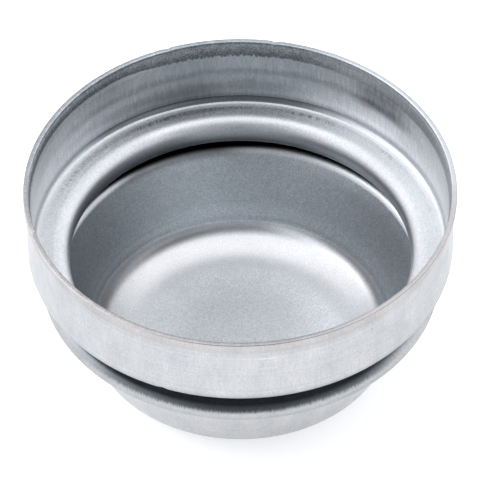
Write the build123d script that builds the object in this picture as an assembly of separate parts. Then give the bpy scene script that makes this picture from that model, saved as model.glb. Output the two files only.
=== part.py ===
from build123d import *
import os
from math import cos, radians, sin, tan

# Hub grease cap: one deep-drawn pressing in zinc-plated steel sheet.
# It stands on its closed end, mouth up. z = 0 is the flat base and Z is the axis it was drawn on.
# From the base up, the sheet runs through a crowned closed end, a tapered cup, a ledge that is folded
# out into a bead, a groove that is folded in under a shelf, the press band that goes into the hub,
# and a lip that stands a little proud of the band.
# Diameters and heights are on the outside of the sheet, at the sharp corner that a bend rounds off.
# Each bend is given by the radius on its inner side, as a press tool is made, and each flat is the
# straight that is left between two bends.

# Sheet
sheet = 0.8

# Press band and lip
cap_height = 33.6
band_diameter = 64.8
band_bend = 1.05
lip_proud = 0.4
lip_height = 2.8
lip_land = 1.2
lip_bend = 0.5

# Shelf and groove, open to the outside, by which the cap is pried off
shelf_flat = 2.05
groove_bend = 1.65
groove_flat = 0.05

# Bead, the fold of sheet below the groove
bead_flank = 0.45
bead_bend = 0.75
bead_flat = 0.05

# Ledge between the bead and the cup
ledge_height = 14.2
ledge_flat = 0.55
ledge_bend = 0.4

# Tapered cup and its crowned closed end
cup_taper = 23.9
cup_bend = 3.0
crown_slope = 24.5
crown_bend = 15.2
crown_flat = 0.15


def outer(bend):
    """Outside radius of a bend that bulges outwards: one sheet more than on its inner side."""
    return bend + sheet


def setback(radius, turn):
    """Length of straight that a bend of this radius takes up on each side of its corner."""
    return radius * tan(radians(turn / 2))


# Heights of the corners, from the closed end up
cup_turn = 90 - cup_taper - crown_slope
crown_length = setback(outer(crown_bend), crown_slope) + crown_flat + setback(outer(cup_bend), cup_turn)
crown_height = crown_length * sin(radians(crown_slope))
bead_height = ledge_height + 2 * outer(bead_bend) + bead_flat
shelf_height = bead_height + 2 * groove_bend + groove_flat

# Radii of the corners, from the press band inwards
band_radius = band_diameter / 2
lip_radius = band_radius + lip_proud
groove_radius = band_radius - outer(band_bend) - shelf_flat - groove_bend
bead_radius = groove_radius + groove_bend + bead_flank + outer(bead_bend)
ledge_radius = bead_radius - outer(bead_bend) - ledge_flat - setback(ledge_bend, 90 - cup_taper)
cup_radius = ledge_radius - (ledge_height - crown_height) * tan(radians(cup_taper))
base_radius = cup_radius - crown_length * cos(radians(crown_slope))

# Corners of the section, on the outside of the sheet, from the axis out and up to the cut edge
corners = [
    (0, 0),
    (base_radius, 0),
    (cup_radius, crown_height),
    (ledge_radius, ledge_height),
    (bead_radius, ledge_height),
    (bead_radius, bead_height),
    (groove_radius, bead_height),
    (groove_radius, shelf_height),
    (band_radius, shelf_height),
    (band_radius, cap_height - lip_height),
    (lip_radius, cap_height - lip_land),
    (lip_radius, cap_height),
]
outside_bends = [
    outer(crown_bend),
    outer(cup_bend),
    ledge_bend,
    outer(bead_bend),
    outer(bead_bend),
    groove_bend,
    groove_bend,
    outer(band_bend),
    lip_bend,
    outer(lip_bend),
]

with BuildPart() as grease_cap:
    with BuildSketch(Plane.XZ):
        with BuildLine():
            outside = FilletPolyline(*corners, radius=outside_bends)
            offset(outside, amount=sheet, side=Side.LEFT)
        make_face()
    revolve(axis=Axis.Z)

os.makedirs("parts", exist_ok=True)
export_step(grease_cap.part, "parts/grease_cap.step")
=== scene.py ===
# %% [markdown]
# # A zinc-plated hub grease cap
#
# The cap is one deep-drawn pressing: a disc of steel sheet pushed through a row of dies until it is a
# tapered cup, then folded to make a bead and a groove, trimmed at the rim and plated with zinc. This
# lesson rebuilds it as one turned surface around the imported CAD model, and spends its effort on what
# makes such a thing look real: the true bends of the sheet, the marks of the tools and a satin finish.

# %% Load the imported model
from math import radians
import bpy
import numpy as np
from mathutils import Matrix, Vector


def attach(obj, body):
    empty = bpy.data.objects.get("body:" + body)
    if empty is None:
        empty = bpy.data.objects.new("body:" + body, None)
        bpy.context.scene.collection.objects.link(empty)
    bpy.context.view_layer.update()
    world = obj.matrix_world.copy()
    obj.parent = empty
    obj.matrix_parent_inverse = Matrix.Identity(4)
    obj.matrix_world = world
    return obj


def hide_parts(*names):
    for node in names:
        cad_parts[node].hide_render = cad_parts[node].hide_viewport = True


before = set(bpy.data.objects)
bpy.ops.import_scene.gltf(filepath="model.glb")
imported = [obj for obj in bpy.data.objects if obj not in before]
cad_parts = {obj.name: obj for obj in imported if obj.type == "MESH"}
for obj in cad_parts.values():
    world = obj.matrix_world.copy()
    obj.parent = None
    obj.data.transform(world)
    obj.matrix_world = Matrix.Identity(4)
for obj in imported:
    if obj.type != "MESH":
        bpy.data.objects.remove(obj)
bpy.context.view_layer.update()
MM = 0.001

# %% [markdown]
# ## The section of the sheet
#
# Cut the cap in half and you see one strip of sheet, 0.8 mm thick, that starts at the middle of the base,
# climbs through the crowned end, the tapered cup, the bead, the groove and the press band, and ends at
# the cut edge. Each bend is a circular arc, because a press tool has round edges. So the section is a
# short list of sharp corners and one bend radius for each, which is also how a drawing would give it.
# All sizes are in millimetres, and diameters and heights are on the outside of the sheet.

# %% Sizes of the section
SHEET = 0.8

CAP_HEIGHT = 33.6
BAND_DIAMETER = 64.8
BAND_BEND = 1.05
LIP_PROUD = 0.4
LIP_HEIGHT = 2.8
LIP_LAND = 1.2
LIP_BEND = 0.5

SHELF_FLAT = 2.05
GROOVE_BEND = 1.65
GROOVE_FLAT = 0.05

BEAD_FLANK = 0.45
BEAD_BEND = 0.75
BEAD_FLAT = 0.05

LEDGE_HEIGHT = 14.2
LEDGE_FLAT = 0.55
LEDGE_BEND = 0.4

CUP_TAPER = 23.9
CUP_BEND = 3.0
CROWN_SLOPE = 24.5
CROWN_BEND = 15.2
CROWN_FLAT = 0.15

# %% [markdown]
# The radii follow from the press band inwards, and the heights from the closed end up. A bend that bulges
# outwards is one sheet larger on the outside, and each bend uses up a setback of the straights beside it.

# %% Corners and bends of the section


def outer(bend):
    """Outside radius of a bend that bulges outwards: its inner radius plus one sheet."""
    return bend + SHEET


def setback(radius, turn):
    """Length of straight that a bend takes up on each side of its corner: radius times tan(turn / 2)."""
    return radius * np.tan(radians(turn / 2))


cup_turn = 90 - CUP_TAPER - CROWN_SLOPE
crown_length = setback(outer(CROWN_BEND), CROWN_SLOPE) + CROWN_FLAT + setback(outer(CUP_BEND), cup_turn)
crown_height = crown_length * np.sin(radians(CROWN_SLOPE))
bead_height = LEDGE_HEIGHT + 2 * outer(BEAD_BEND) + BEAD_FLAT
shelf_height = bead_height + 2 * GROOVE_BEND + GROOVE_FLAT
lip_start = CAP_HEIGHT - LIP_HEIGHT

band_radius = BAND_DIAMETER / 2
lip_radius = band_radius + LIP_PROUD
groove_radius = band_radius - outer(BAND_BEND) - SHELF_FLAT - GROOVE_BEND
bead_radius = groove_radius + GROOVE_BEND + BEAD_FLANK + outer(BEAD_BEND)
ledge_radius = bead_radius - outer(BEAD_BEND) - LEDGE_FLAT - setback(LEDGE_BEND, 90 - CUP_TAPER)
cup_radius = ledge_radius - (LEDGE_HEIGHT - crown_height) * np.tan(radians(CUP_TAPER))
base_radius = cup_radius - crown_length * np.cos(radians(CROWN_SLOPE))

corners = np.array([
    [0, 0],
    [base_radius, 0],
    [cup_radius, crown_height],
    [ledge_radius, LEDGE_HEIGHT],
    [bead_radius, LEDGE_HEIGHT],
    [bead_radius, bead_height],
    [groove_radius, bead_height],
    [groove_radius, shelf_height],
    [band_radius, shelf_height],
    [band_radius, lip_start],
    [lip_radius, CAP_HEIGHT - LIP_LAND],
    [lip_radius, CAP_HEIGHT],
])
bends = [
    outer(CROWN_BEND), outer(CUP_BEND), LEDGE_BEND, outer(BEAD_BEND), outer(BEAD_BEND),
    GROOVE_BEND, GROOVE_BEND, outer(BAND_BEND), LIP_BEND, outer(LIP_BEND),
]
print("corners of the section, radius and height:", corners.round(2).tolist())

# %% [markdown]
# ## From corners to a smooth strip
#
# `rounded_path` walks along the corners. On a straight it lays evenly spaced points, and at a corner it
# lays points along the arc that touches both straights. It also gives each point's normal, turned to the
# inside of the cap, so that the inner face of the sheet is simply the outer face moved along the normals
# by one sheet. A Solidify modifier could do that too, but then the cut edge would stay sharp.

# %% Points and normals along the sheet
STRAIGHT_STEP = 2.4
ARC_STEP = radians(12)
LAST_ROWS = 4


def rounded_path(corners, bends):
    """Points and inward normals along straights joined by arcs.

    A bend of radius b and turn t starts b*tan(t/2) before its corner. Its centre lies b along the normal
    on the side that the path turns to, and each arc point is the centre minus b times the turned normal.
    """
    points = []
    normals = []
    start = corners[0]
    for before, corner, after, bend in zip(corners[:-2], corners[1:-1], corners[2:], bends):
        into = (corner - before) / np.linalg.norm(corner - before)
        out = (after - corner) / np.linalg.norm(after - corner)
        turn = np.arctan2(into[0] * out[1] - into[1] * out[0], into @ out)
        back = bend * np.tan(abs(turn) / 2)
        arc_start = corner - back * into
        normal = np.array([-into[1], into[0]])
        rows = int(np.ceil(np.linalg.norm(arc_start - start) / STRAIGHT_STEP)) + 1
        share = np.linspace(0, 1, rows, endpoint=False)[:, None]
        points.append(start + share * (arc_start - start))
        normals.append(np.repeat(normal[None], rows, 0))
        angle = np.linspace(0, turn, int(np.ceil(abs(turn) / ARC_STEP)) + 1, endpoint=False)[:, None]
        side = np.sign(turn) * bend
        turned = np.cos(angle) * normal - np.sin(angle) * into
        points.append(arc_start + side * normal - side * turned)
        normals.append(turned)
        start = corner + back * out
    last = (corners[-1] - start) / np.linalg.norm(corners[-1] - start)
    share = np.linspace(0, 1, LAST_ROWS)[:, None]
    points.append(start + share * (corners[-1] - start))
    normals.append(np.repeat(np.array([[-last[1], last[0]]]), LAST_ROWS, 0))
    return np.concatenate(points), np.concatenate(normals)


outside, inward = rounded_path(corners, bends)
inside = outside + SHEET * inward
print("rows along the sheet:", len(outside))

# %% [markdown]
# The rim is sheared, and plating and handling leave its two edges a little round. So the strip goes up the
# outside, over two small quarter rounds and down the inside. `inner_face` is 0 on the outside and 1 on the
# inside, which lets the material treat the two faces of the sheet differently.

# %% Close the strip round the cut edge
EDGE_ROUND = 0.15
EDGE_ROWS = 5
EDGE_SLACK = 0.01
edge_turn = np.linspace(0, np.pi / 2, EDGE_ROWS)[:, None]
outer_round = outside[-1] + EDGE_ROUND * np.hstack([np.cos(edge_turn) - 1, np.sin(edge_turn) - 1])
inner_round = inside[-1] + EDGE_ROUND * np.hstack([1 - np.sin(edge_turn), np.cos(edge_turn) - 1])
kept = outside[:, 1] < CAP_HEIGHT - EDGE_ROUND - EDGE_SLACK
strip = np.concatenate([outside[kept], outer_round, inner_round, inside[kept][::-1]])[1:-1]
over_edge = np.linspace(0, 1, len(outer_round) + len(inner_round))
face_side = np.concatenate([np.zeros(kept.sum()), over_edge, np.ones(kept.sum())])[1:-1]
print("rings of the turned surface:", len(strip))

# %% [markdown]
# ## Turn the strip round the axis
#
# A Screw modifier would turn the strip, but in numpy each ring may differ a little on the way round, as on
# a real pressing. The trimmed rim isn't quite level: it sits lower on one side and waves by a few
# hundredths. It also has small nicks from handling, each a shallow hollow in the outer face that pulls
# the rim down by a part of its depth. One more sits at the foot of the band. Every change takes metal
# away, so the surface never leaves the CAD model's box.

# %% Uneven rim and nicks
SEGMENTS = 456
RIM_TILT = 0.08
RIM_LOW_SIDE = radians(-20)
RIM_WAVE = 0.05
NICK_DROP = 0.6
NICKS = [
    {"degrees": 227.8, "height": 33.4, "width": 0.55, "depth": 0.28},
    {"degrees": 196.4, "height": 33.5, "width": 0.45, "depth": 0.22},
    {"degrees": 80.2, "height": 33.6, "width": 0.45, "depth": 0.2},
    {"degrees": 110.0, "height": 33.6, "width": 0.4, "depth": 0.18},
    {"degrees": 248.5, "height": 21.3, "width": 0.45, "depth": 0.18},
]
angle = np.linspace(0, 2 * np.pi, SEGMENTS, endpoint=False)
ring_radius = strip[:, :1] + 0 * angle
ring_height = strip[:, 1:] + 0 * angle

near_rim = np.clip((ring_height - lip_start) / LIP_HEIGHT, 0, 1)
tilt = RIM_TILT * (1 + np.cos(angle - RIM_LOW_SIDE)) / 2
wave = RIM_WAVE * (1 + np.sin(3 * angle + 1) * np.cos(7 * angle)) / 2
ring_height = ring_height - near_rim * (tilt + wave)

outer_face = 1 - face_side[:, None]
for nick in NICKS:
    around = np.angle(np.exp(1j * (angle - radians(nick["degrees"])))) * lip_radius
    above = strip[:, 1:] - nick["height"]
    hollow = nick["depth"] * np.exp(-(around ** 2 + above ** 2) / nick["width"] ** 2)
    ring_radius = ring_radius - hollow * outer_face
    ring_height = ring_height - hollow * near_rim * NICK_DROP
print("rim height in mm, from", ring_height.max(0).min().round(3), "to", ring_height.max().round(3))

# %% [markdown]
# Rings and segments make a grid of quads. The two ends of the strip lie on the axis, so each closes with
# one pole vertex and a fan of triangles.

# %% Mesh of the pressing
poles = np.array([[0, 0, 0], [0, 0, SHEET]])
grid = np.stack([ring_radius * np.cos(angle), ring_radius * np.sin(angle), ring_height], -1)
vertices = np.concatenate([grid.reshape(-1, 3), poles]) * MM

rings = len(strip)
low = np.arange(rings - 1)[:, None] * SEGMENTS
high = low + SEGMENTS
here = np.arange(SEGMENTS)
beyond = (here + 1) % SEGMENTS
quads = np.stack([low + here, low + beyond, high + beyond, high + here], -1).reshape(-1, 4)
base_pole = rings * SEGMENTS
last_ring = (rings - 1) * SEGMENTS
base_fan = np.stack([0 * here + base_pole, beyond, here], -1)
floor_fan = np.stack([0 * here + base_pole + 1, last_ring + here, last_ring + beyond], -1)


def mesh_from(name, vertices, quads, triangles):
    """A smooth mesh from arrays: the corners of all faces laid end to end, and where each face starts."""
    mesh = bpy.data.meshes.new(name)
    corners = np.concatenate([quads.ravel(), triangles.ravel()])
    sizes = np.concatenate([np.full(len(quads), 4), np.full(len(triangles), 3)])
    starts = np.concatenate([[0], np.cumsum(sizes)[:-1]])
    mesh.vertices.add(len(vertices))
    mesh.vertices.foreach_set("co", vertices.astype(np.float32).ravel())
    mesh.loops.add(len(corners))
    mesh.loops.foreach_set("vertex_index", corners.astype(np.int32))
    mesh.polygons.add(len(sizes))
    mesh.polygons.foreach_set("loop_start", starts.astype(np.int32))
    mesh.polygons.foreach_set("use_smooth", np.ones(len(sizes), bool))
    mesh.update(calc_edges=True)
    mesh.validate()
    return mesh


cap_mesh = mesh_from("pressed_cap", vertices, quads, np.concatenate([base_fan, floor_fan]))
side_values = np.concatenate([np.repeat(face_side, SEGMENTS), [0, 1]])
side_attribute = cap_mesh.attributes.new("inner_face", "FLOAT", "POINT")
side_attribute.data.foreach_set("value", side_values.astype(np.float32))
cap = bpy.data.objects.new("pressed_cap", cap_mesh)
bpy.context.scene.collection.objects.link(cap)
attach(cap, "root")
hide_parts("grease_cap")
print("pressed_cap:", len(cap_mesh.polygons), "faces")

# %% [markdown]
# ## Shader maths in plain Python
#
# A material is a graph of nodes, and written node by node it is hard to read. `Wire` wraps one socket, so
# that sums and products of wires add the Math nodes by themselves. Its one other method, `node`, adds any
# node: it takes the node's type, its settings and its inputs, and returns one output as a new wire.

# %% Wire


class Wire:
    """A node socket that can be added, multiplied and so on: each operator adds a Math node to the tree."""

    def __init__(self, tree, socket=None):
        self.tree = tree
        self.socket = socket

    def node(self, kind, settings=None, inputs=None, output=0):
        """Adds a node of this type, sets its settings, then its inputs, and returns one of its outputs."""
        made = self.tree.nodes.new(kind)
        for name, value in (settings or {}).items():
            setattr(made, name, value)
        for key, value in (inputs or {}).items():
            if isinstance(value, Wire):
                self.tree.links.new(value.socket, made.inputs[key])
            else:
                made.inputs[key].default_value = value
        return Wire(self.tree, made.outputs[output] if made.outputs else None)

    def math(self, operation, *others):
        """One Math node on this value and the others."""
        return self.node("ShaderNodeMath", {"operation": operation}, dict(enumerate((self, *others))))

    def __add__(self, other):
        return self.math("ADD", other)

    def __mul__(self, other):
        return self.math("MULTIPLY", other)

    def __sub__(self, other):
        return self.math("SUBTRACT", other)

    def __rsub__(self, other):
        return self * -1 + other

    def __truediv__(self, other):
        return self.math("DIVIDE", other)

    __radd__ = __add__
    __rmul__ = __mul__


def new_tree(owner):
    """The emptied node tree of a material or world, as a wire to build from."""
    owner.use_nodes = True
    owner.node_tree.nodes.clear()
    return Wire(owner.node_tree)


# %% [markdown]
# ## Places on the cap
#
# The finish differs from zone to zone, and each zone is a stretch of the section. So the material works
# out the radius and height of the point it is on, in millimetres, from the Object coordinates, and asks
# whether they lie within a stretch. `wrapped` unrolls the wall for the textures: it stretches a pattern
# round the cap or along its axis, with no seam, because it is built on the point's direction.

# %% Coordinates and zone helpers
zinc = bpy.data.materials.new("zinc_plate")
bench = new_tree(zinc)
place = bench.node("ShaderNodeTexCoord", output="Object")
place = bench.node("ShaderNodeVectorMath", {"operation": "SCALE"}, {"Vector": place, "Scale": 1 / MM})
x = bench.node("ShaderNodeSeparateXYZ", inputs={"Vector": place}, output="X")
y = bench.node("ShaderNodeSeparateXYZ", inputs={"Vector": place}, output="Y")
height = bench.node("ShaderNodeSeparateXYZ", inputs={"Vector": place}, output="Z")
radius = (x * x + y * y).math("SQRT")
inner = bench.node("ShaderNodeAttribute", {"attribute_name": "inner_face"}, output="Fac")


def rising(value, start, end):
    """0 before start, 1 past end and a smooth step between; start may be the larger of the two."""
    reach = {"Value": value, "From Min": start, "From Max": end}
    return value.node("ShaderNodeMapRange", {"interpolation_type": "SMOOTHSTEP"}, reach)


def within(value, low, high, soft):
    """1 between low and high, 0 outside, with edges that are soft on both sides of each limit."""
    return rising(value, low - soft, low + soft) * rising(value, high + soft, high - soft)


def wrapped(around, along):
    """Texture place on the wall: a feature is about radius/around wide and 1/along high, in millimetres."""
    parts = {"X": x / radius * around, "Y": y / radius * around, "Z": height * along}
    return bench.node("ShaderNodeCombineXYZ", inputs=parts)


def noise(where, scale=1.0, detail=2.0):
    """Cloudy noise round 0, mostly within 0.3 of it."""
    inputs = {"Vector": where, "Scale": scale, "Detail": detail}
    return bench.node("ShaderNodeTexNoise", inputs=inputs, output="Fac") - 0.5


# %% [markdown]
# ## The finish, zone by zone
#
# The rest of the material is a walk over the cap, from the rim down the inside and up the outside again.
# Each zone is a mask, which is 1 on the zone and 0 elsewhere, and each zone ends in a shade: a factor near 1
# by which it makes the zinc lighter or darker. Many of these shades are painted light and shade. Most of the
# differences between the left, the right and the far side are painted light and shade as well, so masks for
# the sides come first, with three noises that are drawn out as a die draws its marks.

# %% Sides and drawing marks
right_side = rising(x, 8.0, 20.0)
left_side = rising(x, 0.0, -22.0)
far_side = rising(y, 4.0, 20.0)
either_side = rising(x.math("ABSOLUTE"), 10.0, 22.0)

streak = noise(wrapped(75, 0.25))
stroke = noise(wrapped(130, 0.6))
wander = noise(wrapped(6, 0.6))
print("sides: right, left, far, either; drawing marks: streak, stroke, wander")

# %% [markdown]
# The die that trimmed the rim scraped the lip. Inside, it is a dark, grainy band with a ragged lower edge,
# which bites deepest on the far side and is narrower on the left. Noise is added to the height before the
# mask looks at it, and that makes the edge ragged.

# %% Scraped lip
BITE_SPAN = (-11.0, 6.0)
LIP_DARKEST = 0.62
bite = within(x, *BITE_SPAN, 4.0) * rising(y, 0.0, 5.0)
left_lip = rising(x, -10.0, -19.0)
ragged = height - 0.6 * left_lip + streak * (0.3 + bite * 1.1)
scraped = inner * rising(ragged, lip_start + 0.05, lip_start + 0.35) * (1 - 0.6 * right_side)
coarse = scraped * (1 - 0.7 * right_side)

scrape_depth = 0.3 + 0.7 * rising(height, CAP_HEIGHT - 0.6, lip_start + 0.4)
scrape_depth = scrape_depth + 0.5 * rising(height, CAP_HEIGHT - 0.55, CAP_HEIGHT - 0.35)
scrape_depth = scrape_depth + 0.3 * left_lip * rising(height, CAP_HEIGHT - 0.9, CAP_HEIGHT - 1.4)
lip_shade = 1 - LIP_DARKEST * scraped * scrape_depth
print("lip: scraped from about", round(lip_start, 2), "mm up")

# %% [markdown]
# The inner wall was ironed in steps on its way through the dies, which left light and dark rings that are
# streaked up and down. High on the right the wall is darker, with a painted sheen below it, and painted shade
# darkens the far side and the left.

# %% Inner wall
IRONING_RINGS = [(27.2, 28.4, 1.0), (24.0, 25.7, 0.7)]
LOW_RING = (22.2, 23.0)
DARKENING_HEIGHTS = (26.6, 31.0)
DARKENING_SPAN = (18.5, 25.2)
SHEEN_HEIGHTS = (23.0, 25.8)
SHEEN_SPAN = (8.5, 25.0)
SHADED_SPAN = (-23.0, -4.0)
shelf_top = shelf_height + SHEET
beyond_middle = rising(y, 2.0, 8.0)

inner_wall = inner * rising(height, shelf_top + 0.6, shelf_top + 1.0)
ironed = height + wander * 1.8 + streak * 0.6 + stroke * 0.4
rings_dark = sum(within(ironed, low, high, 0.55) * depth for low, high, depth in IRONING_RINGS)
low_ring = within(height + wander * 0.5 + stroke * 0.3, *LOW_RING, 0.4) * rising(y, 0.0, 14.0)
rings_dark = rings_dark * rising(y, 12.0, 25.0) + low_ring
# A darker patch high on the right of the wall.
darkening = within(height + wander + stroke, *DARKENING_HEIGHTS, 0.8) * within(x, *DARKENING_SPAN, 2.0) * beyond_middle
# Painted highlight: a sheen below the darker patch.
sheen = within(height + wander, *SHEEN_HEIGHTS, 1.0) * within(x, *SHEEN_SPAN, 4.0) * beyond_middle
# Painted shade on the left of the wall, deepest low down.
shaded = 0.25 + 0.22 * rising(height, 28.0, 23.0) * rising(x, -22.0, -13.0)
shaded = shaded * within(x, *SHADED_SPAN, 4.0) * rising(y, 4.0, 12.0)
shaded = shaded + 0.16 * rising(height, 25.5, 28.5) * rising(x, -15.0, -21.0) * beyond_middle

brushed = (0.3 * streak + 0.35 * stroke) * (0.4 + 0.6 * far_side)
# Painted shade on the far side, with the rings, the darker patch, the painted sheen and the streaks.
wall_shade = 0.1 * far_side + 0.22 * rings_dark + 0.4 * darkening - 0.3 * sheen - brushed
wall_shade = (1 - inner_wall * wall_shade) * (1 - inner_wall * shaded)
print("wall:", len(IRONING_RINGS) + 1, "dark rings, a stain, a sheen and a dull side")

# %% [markdown]
# Where the wall meets the shelf, painted shade darkens the corner, most on the far side and least on the
# right. Next to it the crease gets a painted highlight, brightest on the far side, and just inside it on the
# far left the shelf gets painted shade as well. Below the crease, the folding tool left rows of small dark
# teeth marks, in patches. The teeth are noise that is cut off hard, so they stay irregular.

# %% Corner, crease and teeth marks
CREASE_RADII = (30.25, 31.0)
CORNER_RADII = (31.0, 31.15)
TEETH_RADII = (29.5, 30.1)
UNDER_CREASE_RADII = (29.3, 30.1)
UNDER_CREASE_SPAN = (-24.0, -2.0)
TEETH_PATCHES = [
    (-27.5, -23.5, 0.5), (-17.0, -8.5, 1.0), (-6.5, 1.5, 0.8), (7.7, 14.4, 1.0), (20.5, 24.5, 0.4),
]
shelf_end = groove_radius + GROOVE_BEND
past_middle = rising(y, 4.0, 8.0)

from_crease = radius - 0.13 * rising(x, -10.0, -18.0)
corner = inner * within(height, shelf_top + 0.1, shelf_top + 1.0, 0.06) * rising(from_crease, *CORNER_RADII)
on_shelf = inner * within(height, shelf_top, shelf_top + 0.2, 0.12)
crease = on_shelf * within(from_crease, *CREASE_RADII, 0.12)
shelf = on_shelf * (1 - crease) * rising(radius, shelf_end - 0.1, shelf_end + 0.3) * (1 - corner)
under_crease = shelf * within(radius, *UNDER_CREASE_RADII, 0.2) * within(x, *UNDER_CREASE_SPAN, 3.0)
under_crease = under_crease * past_middle
tooth = rising(noise(wrapped(120, 0.0), detail=0.0), -0.08, 0.06)
tooth = tooth * within(radius + noise(wrapped(60, 0.0)) * 0.7, *TEETH_RADII, 0.15)
tooth_patch = 0.2 + sum(within(x, low, high, 0.9) * depth for low, high, depth in TEETH_PATCHES)
teeth = shelf * tooth * tooth_patch * past_middle

# Painted shade in the corner and just inside the crease, and a painted highlight on the crease.
corner_depth = (0.2 + 0.5 * far_side) * (1 - 0.8 * right_side) * (1 - 0.55 * rising(x, -20.0, -25.0))
shelf_shade = (1 - corner * corner_depth) * (1 + crease * (0.1 + 0.35 * far_side))
shelf_shade = shelf_shade * (1 - 0.35 * under_crease) * (1 - 0.75 * teeth)
print("shelf: corner, crease and teeth marks in", len(TEETH_PATCHES), "patches")

# %% [markdown]
# Below the shelf the sheet turns round a smooth nose and folds back over the bead. The slot between them is
# painted nearly black as shade, painted shade falls under the nose, and the nose and its flank get painted
# light. The ledge below the slot gets a painted highlight, strongest on both sides.

# %% Nose, slot and ledge
SLOT_RADII = (27.5, 28.3)
LEDGE_RADII = (28.2, 27.8)
ledge_top = LEDGE_HEIGHT + SHEET
slot_top = bead_height - SHEET
fold_middle = (bead_height + shelf_height) / 2

nose = inner * within(height, fold_middle + 1.3, shelf_top, 0.4)
nose = nose * rising(radius, shelf_end + 0.3, shelf_end - 0.3)
above_slot = rising(height, slot_top - 0.1, slot_top + 0.1)
under_nose = inner * rising(height, fold_middle + 1.9, fold_middle - 0.8) * above_slot * rising(y, -6.0, 8.0)
upper_half = rising(height, fold_middle + 0.2, fold_middle + 1.0)
shadow_depth = 0.5 - rising(x, -2.0, 8.0) * (0.5 - 0.35 * upper_half)
nose_shadow = shadow_depth * inner * rising(height, fold_middle + 2.0, fold_middle + 1.1) * above_slot
nose_shadow = nose_shadow * rising(x.math("ABSOLUTE"), 3.0, 12.0) * rising(y, -2.0, 10.0)
flank = inner * within(height, slot_top + 0.6, fold_middle + 0.8, 0.4) * rising(y, 3.0, -8.0)

from_slot = radius - 0.4 * rising(x, 0.0, 9.0)
# Painted shade in the slot, and a painted highlight on the ledge below it.
slot = inner * within(height, ledge_top - 0.25, slot_top + 0.3, 0.25) * rising(from_slot, *SLOT_RADII)
ledge = inner * within(height, ledge_top - 0.8, ledge_top - 0.2, 0.25) * rising(from_slot, *LEDGE_RADII)
ledge = ledge * (0.3 * rising(x, -8.0, -2.0) + 0.7 * rising(x, -4.0, 10.0) + rising(x, -17.0, -22.0))

# Painted shade in the slot and under the nose, and painted light on the nose and its flank.
fold_shade = (1 - 0.985 * slot) * (1 - under_nose * (0.7 - 0.55 * right_side)) * (1 - nose_shadow)
fold_shade = fold_shade * (1 + 0.08 * nose + 0.3 * flank)
print("folds: nose, slot and ledge, from", round(shelf_top, 2), "down to", round(ledge_top, 2), "mm")

# %% [markdown]
# The cup gets painted shade, darkest at its top on the far left and lighter at its top on the right, and thin
# rings of tool marks run round its foot. There the sheet turns over a knuckle into the crown, which is
# burnished. The knuckle gets painted shade, less to the right, where the foot gets a painted highlight. The
# crown gets painted light on the left and a little painted shade on the right. The flat in the middle keeps
# the matt grain of the sheet, with painted light towards its edge.

# %% Cup and closed end
CUP_BOTTOM = 3.7
FOOT_LINE = (3.65, 3.95)
FAR_TOOL_LINE = (6.75, 6.9)
LEFT_TOOL_LINES = [(4.1, 4.3), (5.45, 5.6)]
FOOT_BAND = (2.7, 5.3)
FOOT_GLOW = (2.5, 4.1)
KNUCKLE = (2.25, 3.65)
CROWN_RADII = (14.5, 18.0)
cup_top = inner * rising(height, 13.2, 14.9) * rising(height, ledge_top + 0.4, ledge_top + 0.1)
cup_top = cup_top * within(x, -18.0, -1.0, 3.0) * rising(y, 0.0, 10.0)
cup_glow = inner * rising(height, 11.5, 14.3) * rising(height, ledge_top, ledge_top - 0.3) * right_side
cup = inner * within(height, CUP_BOTTOM, ledge_top - 0.7, 0.3)
cup_foot = inner * rising(height, 4.5, 4.8) * rising(height, 7.6, 5.6)
foot_line = inner * within(height, *FOOT_LINE, 0.08) * rising(y, -4.0, 8.0)
tool_line = inner * within(height, *FAR_TOOL_LINE, 0.1) * within(x, -5.0, 5.0, 4.0)
left_lines = sum(within(height, *line, 0.12) for line in LEFT_TOOL_LINES)
tool_line = tool_line + inner * left_lines * rising(x, -6.0, -12.0)
foot_band = inner * within(height, *FOOT_BAND, 0.2) * rising(x, -8.0, -14.0) * rising(y, -2.0, 6.0)
foot_glow = inner * within(height, *FOOT_GLOW, 0.3) * within(x, 4.5, 12.5, 2.0) * rising(y, 0.0, 8.0)
knuckle = inner * within(height, *KNUCKLE, 0.3)
crown = inner * rising(height, 4.0, 3.2) * rising(radius, *CROWN_RADII)
matt = inner * rising(height, 2.4, 1.2) * (1 - rising(radius, *CROWN_RADII))

# Painted shade on the knuckle, deepest on the left and turning to a little painted light on the right.
knuckle_shade = 0.25 * rising(x, 6.0, -8.0) + 0.15 * left_side - 0.12 * right_side
knuckle_shade = knuckle_shade + 0.18 * within(x, -14.5, -7.0, 3.0)
# Painted light on the left of the crown and a little painted shade on its right.
crown_shade = 0.12 * rising(x, -8.0, -17.0) - 0.03 * rising(x, 4.0, 16.0)
crown_shade = crown * crown_shade * rising(height, 2.4, 1.9)
# Painted shade on the cup, and painted highlights on the ledge and on the right of the foot.
foot_shade = 1 - 0.15 * cup + ledge * (0.25 + 0.3 * (right_side + left_side)) + 0.1 * cup_foot
foot_shade = foot_shade - knuckle * knuckle_shade + crown_shade + 0.08 * foot_band + 0.25 * foot_glow
foot_shade = foot_shade * (1 + 0.15 * foot_line) * (1 - 0.12 * tool_line)
# Painted shade at the top of the cup on the far left, painted light there on the right, and painted light
# towards the edge of the matt flat.
cup_shade = foot_shade * (1 - 0.7 * cup_top) * (1 + 0.2 * cup_glow)
cup_shade = cup_shade * (1 + 0.3 * matt * rising(radius, 6.0, 15.0))
print("closed end: cup, foot, knuckle, crown and matt flat")

# %% [markdown]
# The outside was handled more. It is rubbed in patches and turned bands, with two short scratches and some
# specks on the near side. It also gets painted shade: overall, more on the band, on the lip, at the foot of
# the band and on the bead, and most in the groove, which fades towards the sides. A painted highlight runs
# where the lip meets the band. The streaks fade towards the base, because they would all meet at its middle.

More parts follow.
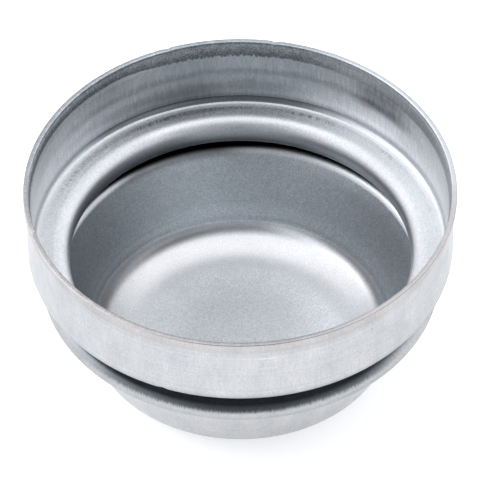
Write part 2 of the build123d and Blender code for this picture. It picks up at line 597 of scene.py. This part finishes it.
# %% Outside
SCRATCH_HEIGHTS = (28.0, 30.1)
SCRATCH_SPAN = (2.7, 5.2)
SCRATCH_WIDTH = 0.14
SPECK_SIZE = 0.45
SPECK_SPAN = (16.5, 20.5)
outside_face = rising(inner, 0.1, 0.0)
# Painted shade in the groove, fading towards the sides.
groove = outside_face * within(height + stroke, bead_height - 0.85, shelf_height + 0.3, 0.35)
groove = groove * rising(radius, 32.2, 30.8) * (1 - 0.75 * rising(x.math("ABSOLUTE"), 17.0, 27.0))
bead = outside_face * within(height, LEDGE_HEIGHT - 0.2, bead_height, 0.2)
band_foot = outside_face * within(height, shelf_height, shelf_height + 1.6, 0.6)
lip_outside = outside_face * rising(height, lip_start + 0.6, lip_start + 1.4)
lip_foot = outside_face * within(height, lip_start + 0.45, lip_start + 0.6, 0.15) * rising(stroke, -0.1, 0.2)

turned = noise(bench.node("ShaderNodeCombineXYZ", inputs={"Z": height * 2.2}))
above_base = rising(height, 1.5, 5.0)
patchy = noise(wrapped(9, 0.2)) * above_base
rubbed = outside_face * (turned * 0.25 + (stroke + streak) * above_base * 0.15 + patchy * 0.3)
near_band = outside_face * rising(y, -5.0, -15.0)
scratches = sum(within(height, level, level + SCRATCH_WIDTH, 0.08) for level in SCRATCH_HEIGHTS)
scratches = scratches * within(x, *SCRATCH_SPAN, 0.4)
specks = rising(noise(place, 1 / SPECK_SIZE), 0.13, 0.2) * within(x, *SPECK_SPAN, 2.0)

# Painted shade over the outside, the bead, the lip, the band's foot and the groove, and a painted highlight
# where the lip meets the band.
outside_shade = (1 - outside_face * (0.17 + 0.09 * rising(height, 16.0, 19.0))) * (1 - 0.23 * bead)
outside_shade = outside_shade * (1 - 0.1 * lip_outside + 0.12 * lip_foot) * (1 - 0.12 * band_foot)
outside_shade = outside_shade * (1 - 0.66 * groove) * (1 + rubbed)
outside_shade = outside_shade * (1 + near_band * (0.25 * scratches - 0.3 * specks))
print("outside: groove, bead, band, lip,", len(SCRATCH_HEIGHTS), "scratches and specks")

# %% [markdown]
# The cut edge was never drawn, only sheared. Painted shade darkens a line along its outer corner, less on the
# left, and it has a painted glint on the far left. It is darker and warmer nearest to us, and painted shade
# on the left and painted light on the right vary it by side.

# %% Cut edge
EDGE_LINE = (0.06, 0.36)
EDGE_GLINT = (0.55, 0.85)
cut_edge = within(inner, 0.08, 0.92, 0.06)
edge_line = within(inner, *EDGE_LINE, 0.05)
near_edge = cut_edge * rising(y, 5.0, -15.0)
left_edge = cut_edge * rising(x, -12.0, -26.0) * rising(y, -12.0, 0.0)
right_edge = cut_edge * rising(x, 5.0, 15.0) * rising(y, -5.0, 5.0)
glint = within(inner, *EDGE_GLINT, 0.1) * rising(x, -4.0, -12.0) * rising(y, 0.0, 8.0)

# Painted shade on the left and near side of the cut edge, painted light on its right, and a painted glint.
edge_shade = 1 - 0.1 * near_edge - 0.2 * left_edge + 0.1 * right_edge + 0.4 * glint
edge_shade = edge_shade * (1 - edge_line * (0.42 - 0.27 * left_side))
print("cut edge: dark line, glint and bare steel")

# %% [markdown]
# The shades multiply to one tone, and grain, mottling and a slow cloudiness go over everything. The grain
# is strongest where the die scraped. It is also the relief, together with the strokes on the wall and two
# faint rings round the foot of the cup. The crown is the smoothest place and the matt flat the roughest.

# %% Tone, roughness and relief
GRAIN_SIZE = 0.22
MOTTLE_SIZE = 0.9
CLOUD_SIZE = 5.0
CUP_RINGS = [(6.85, 0.35), (3.85, 1.0)]
grain = noise(place, 1 / GRAIN_SIZE, 1.0)
mottle = noise(place, 1 / MOTTLE_SIZE)
cloud = noise(place, 1 / CLOUD_SIZE)

# Painted light on the left and right of the wall and on the left of the shelf, nose and flank; painted shade
# on the left of the cup.
side_shade = 1 + left_side * (0.28 * inner_wall + 0.04 * shelf + 0.25 * (nose + flank) - 0.35 * cup)
side_shade = side_shade + right_side * (0.18 * inner_wall)
tone = lip_shade * wall_shade * shelf_shade * fold_shade * cup_shade * outside_shade * edge_shade * side_shade
far_shelf = shelf * far_side
grain_depth = 0.55 + 1.4 * coarse + 1.1 * far_shelf * (1 - 0.8 * right_side) + 0.15 * matt + 0.35 * cup
grain_depth = grain_depth - 0.35 * (crease + cut_edge)
mottle_depth = 0.1 + 0.4 * far_shelf * (1 - right_side) + 0.7 * coarse + 0.15 * cup
tone = tone * (1 + grain * grain_depth) * (1 + mottle * mottle_depth) * (1 + cloud * 0.15)

soft = either_side * (shelf + nose + flank) + crease + ledge
rough = 0.42 + 0.14 * matt - 0.06 * crown + 0.03 * nose - 0.04 * crease + 0.1 * soft + grain * 0.15
cup_rings = sum(within(height, at - 0.1, at + 0.1, 0.1) * depth for at, depth in CUP_RINGS)
relief = grain * (1 - 0.8 * cut_edge) + stroke * inner_wall * 0.6 + cup_rings * inner
print("tone, roughness and relief over", len(CUP_RINGS), "rings and a grain of", GRAIN_SIZE, "mm")

# %% [markdown]
# The tints follow the painted light and shade. The zinc is mixed a little blue where shade is painted and on
# the far lip, and a little warmer where light is painted, on the handled outside and along the lip and the
# edge line. It is warmest on the cut edge nearest to us. So four tints are mixed before the tone is applied.
# The matt flat and the zones with painted highlights scatter light as paint does, so they are only half
# metallic.

# %% Zinc shader
ZINC = (0.63, 0.645, 0.665, 1)
COOL_ZINC = (0.6, 0.645, 0.68, 1)
WARM_ZINC = (0.655, 0.64, 0.64, 1)
NEAR_EDGE_ZINC = (0.64, 0.605, 0.6, 1)
BUMP_HEIGHT = 0.03 * MM
MIX_A, MIX_B, MIX_RESULT = 6, 7, 2


def mixed(first, second, share):
    """Colour that goes from the first to the second as the share goes from 0 to 1.

    A Mix node has sockets for numbers, vectors and colours, and the colour ones are known by their place.
    """
    inputs = {"Factor": share, MIX_A: first, MIX_B: second}
    return share.node("ShaderNodeMix", {"data_type": "RGBA"}, inputs, MIX_RESULT)


# Blue tint where shade is painted, and warm tint where light is painted and on the handled outside.
cool = (inner_wall + scraped + corner) * rising(y, 5.0, 22.0) + cup * 0.8 + under_nose * 0.7
tint = mixed(ZINC, COOL_ZINC, cool)
bright = nose + shelf + crease + crown + ledge + inner_wall * (right_side + 0.4 * left_side)
warm = outside_face * (0.3 + patchy) + edge_line + lip_outside * 0.7 + bright * 0.5
tint = mixed(tint, WARM_ZINC, warm)
tint = mixed(tint, COOL_ZINC, groove)
tint = mixed(tint, NEAR_EDGE_ZINC, near_edge)
colour = bench.node("ShaderNodeVectorMath", {"operation": "SCALE"}, {"Vector": tint, "Scale": tone})
bump = bench.node("ShaderNodeBump", inputs={
    "Height": relief, "Strength": 0.25, "Distance": BUMP_HEIGHT,
}, output="Normal")
metal = bench.node("ShaderNodeBsdfPrincipled", inputs={
    "Base Color": colour, "Metallic": 1 - 0.5 * (matt + soft), "Roughness": rough, "Normal": bump,
})
bench.node("ShaderNodeOutputMaterial", inputs={"Surface": metal})
cap_mesh.materials.append(zinc)
print("zinc_plate:", len(zinc.node_tree.nodes), "nodes")

# %% [markdown]
# ## Floor
#
# The cap was photographed on a white sweep. The floor glows a little, as paper does when it is lit from
# all round, so that it stays white in the picture and keeps only a soft contact shadow. It lies a hair
# below the base, so that the two flat faces don't share one plane.

# %% Paper floor
FLOOR_HALF = 4.0
FLOOR_GAP = 0.02 * MM
PAPER_WHITE = (0.93, 0.93, 0.93, 1)
PAPER_GLOW_TINT = (1, 0.995, 0.99, 1)
PAPER_GLOW = 0.41
floor_mesh = bpy.data.meshes.new("floor")
sides = [(-1, -1), (1, -1), (1, 1), (-1, 1)]
floor_corners = [(across * FLOOR_HALF, along * FLOOR_HALF, -FLOOR_GAP) for across, along in sides]
floor_mesh.from_pydata(floor_corners, [], [(0, 1, 2, 3)])
floor = bpy.data.objects.new("floor", floor_mesh)
bpy.context.scene.collection.objects.link(floor)

paper = bpy.data.materials.new("paper")
bench = new_tree(paper)
sheet_of_paper = bench.node("ShaderNodeBsdfPrincipled", inputs={
    "Base Color": PAPER_WHITE, "Roughness": 0.9, "Specular IOR Level": 0.0,
    "Emission Color": PAPER_GLOW_TINT, "Emission Strength": PAPER_GLOW,
})
bench.node("ShaderNodeOutputMaterial", inputs={"Surface": sheet_of_paper})
floor_mesh.materials.append(paper)
print("floor: a white sheet", 2 * FLOOR_HALF, "m wide")

# %% [markdown]
# ## Light
#
# Bare metal shows its surroundings, so the light is best given as surroundings: a tent of white cloth with
# a lamp overhead, one low on each side, and the dim room behind the camera. The overhead part is a ramp
# over the arc from the horizon behind the camera, up over the top and down to the far horizon, weaker to
# the right: `TENT` lists degrees along that arc and the brightness there. The two side lamps are added by
# the sideways part of the direction, and the left one reaches higher.

# %% Light tent
TENT = [
    (0, 0.24), (40, 0.27), (58, 0.35), (70, 0.75), (80, 1.5), (92, 2.0), (115, 2.0), (128, 1.15),
    (140, 0.72), (155, 0.58), (180, 0.53),
]
DIM_TINT = np.array([0.92, 1.0, 1.08])
BRIGHT_TINT = np.array([0.99, 1.0, 1.03])
BRIGHTEST = 2.0
LEFT_LAMP = 1.2
LEFT_REACH = (-0.3, -0.7)
LEFT_TOP = (0.92, 0.6)
RIGHT_LAMP = 1.3
RIGHT_REACH = (0.25, 0.65)
RIGHT_TOP = (0.72, 0.45)
RIGHT_LOSS = 0.5
RIGHT_LOSS_REACH = (0.25, 0.7)

world = bpy.data.worlds.new("light_tent")
bpy.context.scene.world = world
bench = new_tree(world)
direction = bench.node("ShaderNodeTexCoord", output="Generated")
across = bench.node("ShaderNodeSeparateXYZ", inputs={"Vector": direction}, output="X")
away = bench.node("ShaderNodeSeparateXYZ", inputs={"Vector": direction}, output="Y")
up = bench.node("ShaderNodeSeparateXYZ", inputs={"Vector": direction}, output="Z")
arc = up.math("ARCTAN2", away * -1) / np.pi
overhead = bench.node("ShaderNodeValToRGB", inputs={"Fac": arc})
ramp = overhead.socket.node.color_ramp
ramp.elements.remove(ramp.elements[1])
for number, (degrees, level) in enumerate(TENT):
    stop = ramp.elements[0] if number == 0 else ramp.elements.new(degrees / 180)
    stop.position = degrees / 180
    tint = DIM_TINT + (BRIGHT_TINT - DIM_TINT) * level / BRIGHTEST
    stop.color = (*(tint * level), 1)

left_lamp = LEFT_LAMP * rising(across, *LEFT_REACH) * rising(up, *LEFT_TOP)
right_lamp = RIGHT_LAMP * rising(across, *RIGHT_REACH) * rising(up, *RIGHT_TOP)
overhead = {"Vector": overhead, "Scale": 1 - RIGHT_LOSS * rising(across, *RIGHT_LOSS_REACH)}
overhead = bench.node("ShaderNodeVectorMath", {"operation": "SCALE"}, overhead)
lamps = {"Vector": BRIGHT_TINT, "Scale": left_lamp + right_lamp}
lamps = bench.node("ShaderNodeVectorMath", {"operation": "SCALE"}, lamps)
tent = bench.node("ShaderNodeVectorMath", {"operation": "ADD"}, {0: overhead, 1: lamps})
glow = bench.node("ShaderNodeBackground", inputs={"Color": tent, "Strength": 1.0})
bench.node("ShaderNodeOutputWorld", inputs={"Surface": glow})
print("light tent:", len(TENT), "stops and two side lamps")

# %% [markdown]
# ## Camera
#
# The camera looks down into the mouth at about 45 degrees, from far enough away that the cap hardly tapers
# with distance. Its frame is given by the width that it covers at the rim and by the pixel on which the
# centre of the rim falls, and the aim point follows from these.

# %% Camera
CAMERA_ELEVATION = 45.48
CAMERA_DISTANCE = 1000
CAMERA_ROLL = -0.31
FRAME_WIDTH = 72.47
RIM_CENTRE_PIXEL = (240.1, 188.5)
IMAGE_PIXELS = 480
SENSOR_WIDTH = 36
CLIP_START, CLIP_END = 0.01, 20

elevation = radians(CAMERA_ELEVATION)
back = Vector((0, -np.cos(elevation), np.sin(elevation)))
roll = Matrix.Rotation(radians(CAMERA_ROLL), 3, back)
image_up = roll @ Vector((0, np.sin(elevation), np.cos(elevation)))
image_right = roll @ Vector((1, 0, 0))
pixel = FRAME_WIDTH / IMAGE_PIXELS
rim_right = (RIM_CENTRE_PIXEL[0] - IMAGE_PIXELS / 2) * pixel
rim_up = (IMAGE_PIXELS / 2 - RIM_CENTRE_PIXEL[1]) * pixel
aim = Vector((0, 0, CAP_HEIGHT)) - image_right * rim_right - image_up * rim_up

camera_data = bpy.data.cameras.new("camera")
camera_data.sensor_width = SENSOR_WIDTH
camera_data.lens = SENSOR_WIDTH * CAMERA_DISTANCE / FRAME_WIDTH
camera_data.clip_start = CLIP_START
camera_data.clip_end = CLIP_END
camera = bpy.data.objects.new("camera", camera_data)
axes = Matrix((image_right, image_up, back)).transposed()
camera.matrix_world = Matrix.Translation((aim + back * CAMERA_DISTANCE) * MM) @ axes.to_4x4()
bpy.context.scene.collection.objects.link(camera)
bpy.context.scene.camera = camera
bpy.context.scene.view_settings.view_transform = "Standard"
print("camera lens in mm:", round(camera_data.lens, 1))
